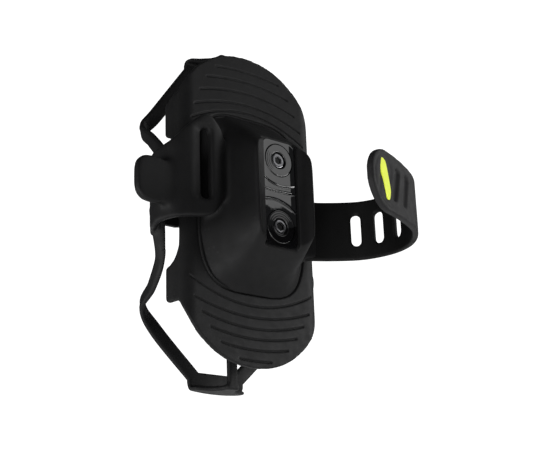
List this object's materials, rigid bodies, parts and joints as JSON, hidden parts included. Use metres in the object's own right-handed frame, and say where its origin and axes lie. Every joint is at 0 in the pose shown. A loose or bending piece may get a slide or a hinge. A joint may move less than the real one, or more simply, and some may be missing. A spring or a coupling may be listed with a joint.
{
  "type": "bicycle phone and power bank mount",
  "caption": "Moulded silicone bicycle mount: a rubber strap ties its saddle to a tube, a ribbed pad with wings grips a power bank and stretch bands hold a phone.",
  "frame": {"origin": "on the axis of the bicycle tube that the saddle rests against, at the middle of the saddle", "axes": "+Z along the tube and the phone's long side, +Y from the phone towards the tube, +X towards the buckle that the strap hooks on"},
  "size_m": [0.1133, 0.1054, 0.1526],
  "materials": {
    "silicone": "matte moulded",
    "strap_silicone": "matte moulded",
    "gloss_insert": "polished",
    "nylon_core": "moulded",
    "screw_steel": "blackened",
    "brass_insert": "turned",
    "accent_silicone": "satin moulded"
  },
  "bodies": {
    "mount_body": {"back_pad": "silicone", "hub_housing": "silicone", "saddle_insert": "gloss_insert", "core_plate": "nylon_core", "screw_collar_upper": "gloss_insert", "screw_collar_lower": "gloss_insert", "saddle_screw_upper": "screw_steel", "saddle_screw_lower": "screw_steel", "threaded_insert_upper": "brass_insert", "threaded_insert_lower": "brass_insert", "buckle_frame": "silicone", "side_arm_buckle_side": "silicone", "side_arm_strap_side": "silicone", "cradle_spine": "silicone", "cross_arm_buckle_side": "silicone", "cross_arm_strap_side": "silicone", "top_foot": "silicone", "bottom_foot": "silicone", "strap_root": "strap_silicone"},
    "wing_upper_buckle_side": {"wing_upper_buckle_side": "silicone"},
    "wing_upper_strap_side": {"wing_upper_strap_side": "silicone"},
    "wing_lower_buckle_side": {"wing_lower_buckle_side": "silicone"},
    "wing_lower_strap_side": {"wing_lower_strap_side": "silicone"},
    "corner_band_upper_buckle_side": {"corner_band_upper_buckle_side": "strap_silicone"},
    "corner_band_upper_strap_side": {"corner_band_upper_strap_side": "strap_silicone"},
    "corner_band_lower_buckle_side": {"corner_band_lower_buckle_side": "strap_silicone"},
    "corner_band_lower_strap_side": {"corner_band_lower_strap_side": "strap_silicone"},
    "hook_tongue": {"hook_tongue": "silicone"},
    "strap_link_1": {"strap_link_1": "strap_silicone"},
    "strap_link_2": {"strap_link_2": "strap_silicone"},
    "strap_link_3": {"strap_link_3": "strap_silicone"},
    "strap_link_4": {"strap_link_4": "strap_silicone"},
    "strap_link_5": {"strap_link_5": "strap_silicone"},
    "strap_link_6": {"strap_link_6": "strap_silicone"},
    "strap_tab": {"strap_tab": "strap_silicone", "accent_inlay": "accent_silicone"}
  },
  "joints": [
    {"name": "wing_upper_buckle_side_flex", "type": "hinge", "parent": "mount_body", "child": "wing_upper_buckle_side", "pos_m": [0.03479, -0.04295, 0.034], "axis": [0, 0, 1], "range_deg": [0, 55], "stiffness_Nm_per_rad": 0.02},
    {"name": "wing_upper_strap_side_flex", "type": "hinge", "parent": "mount_body", "child": "wing_upper_strap_side", "pos_m": [-0.03479, -0.04295, 0.034], "axis": [0, 0, -1], "range_deg": [0, 55], "stiffness_Nm_per_rad": 0.02},
    {"name": "wing_lower_buckle_side_flex", "type": "hinge", "parent": "mount_body", "child": "wing_lower_buckle_side", "pos_m": [0.03479, -0.04295, -0.038], "axis": [0, 0, 1], "range_deg": [0, 55], "stiffness_Nm_per_rad": 0.02},
    {"name": "wing_lower_strap_side_flex", "type": "hinge", "parent": "mount_body", "child": "wing_lower_strap_side", "pos_m": [-0.03479, -0.04295, -0.038], "axis": [0, 0, -1], "range_deg": [0, 55], "stiffness_Nm_per_rad": 0.02},
    {"name": "corner_band_upper_buckle_side_release", "type": "hinge", "parent": "mount_body", "child": "corner_band_upper_buckle_side", "pos_m": [0.0384, -0.0494, 0.0185], "axis": [-0.438, -0.3052, 0.8456], "range_deg": [0, 45], "stiffness_Nm_per_rad": 0.02},
    {"name": "corner_band_upper_strap_side_release", "type": "hinge", "parent": "mount_body", "child": "corner_band_upper_strap_side", "pos_m": [-0.0384, -0.0494, 0.0185], "axis": [-0.438, 0.3052, -0.8456], "range_deg": [0, 45], "stiffness_Nm_per_rad": 0.02},
    {"name": "corner_band_lower_buckle_side_release", "type": "hinge", "parent": "mount_body", "child": "corner_band_lower_buckle_side", "pos_m": [0.0389, -0.0502, -0.0274], "axis": [0.5175, 0.3381, 0.786], "range_deg": [0, 35], "stiffness_Nm_per_rad": 0.02},
    {"name": "corner_band_lower_strap_side_release", "type": "hinge", "parent": "mount_body", "child": "corner_band_lower_strap_side", "pos_m": [-0.0389, -0.0502, -0.0274], "axis": [0.5175, -0.3381, -0.786], "range_deg": [0, 35], "stiffness_Nm_per_rad": 0.02},
    {"name": "hook_tongue_flex", "type": "hinge", "parent": "mount_body", "child": "hook_tongue", "pos_m": [0.0484, -0.0334, 0.0001], "axis": [0, 0, 1], "range_deg": [-10, 25], "stiffness_Nm_per_rad": 0.03},
    {"name": "strap_flex_1", "type": "hinge", "parent": "mount_body", "child": "strap_link_1", "pos_m": [-0.03171, -0.03218, -0.0075], "axis": [0, 0, -1], "range_deg": [-12, 6], "stiffness_Nm_per_rad": 0.03},
    {"name": "strap_flex_2", "type": "hinge", "parent": "strap_link_1", "child": "strap_link_2", "pos_m": [-0.04037, -0.02625, -0.0075], "axis": [0, 0, -1], "range_deg": [-12, 6], "stiffness_Nm_per_rad": 0.03},
    {"name": "strap_flex_3", "type": "hinge", "parent": "strap_link_2", "child": "strap_link_3", "pos_m": [-0.04745, -0.01835, -0.0075], "axis": [0, 0, -1], "range_deg": [-12, 6], "stiffness_Nm_per_rad": 0.03},
    {"name": "strap_flex_4", "type": "hinge", "parent": "strap_link_3", "child": "strap_link_4", "pos_m": [-0.05067, -0.00821, -0.0075], "axis": [0, 0, -1], "range_deg": [-12, 6], "stiffness_Nm_per_rad": 0.03},
    {"name": "strap_flex_5", "type": "hinge", "parent": "strap_link_4", "child": "strap_link_5", "pos_m": [-0.04945, 0.00234, -0.0075], "axis": [0, 0, -1], "range_deg": [-12, 6], "stiffness_Nm_per_rad": 0.03},
    {"name": "strap_flex_6", "type": "hinge", "parent": "strap_link_5", "child": "strap_link_6", "pos_m": [-0.0431, 0.01289, -0.0075], "axis": [0, 0, -1], "range_deg": [-12, 6], "stiffness_Nm_per_rad": 0.03},
    {"name": "strap_flex_7", "type": "hinge", "parent": "strap_link_6", "child": "strap_tab", "pos_m": [-0.03397, 0.0206, -0.0075], "axis": [0, 0, -1], "range_deg": [-12, 6], "stiffness_Nm_per_rad": 0.03}
  ],
  "couplings": [
    {"joint": "strap_flex_2", "follows": "strap_flex_1", "ratio": 1},
    {"joint": "strap_flex_3", "follows": "strap_flex_1", "ratio": 1},
    {"joint": "strap_flex_4", "follows": "strap_flex_1", "ratio": 1},
    {"joint": "strap_flex_5", "follows": "strap_flex_1", "ratio": 1},
    {"joint": "strap_flex_6", "follows": "strap_flex_1", "ratio": 1},
    {"joint": "strap_flex_7", "follows": "strap_flex_1", "ratio": 1}
  ]
}
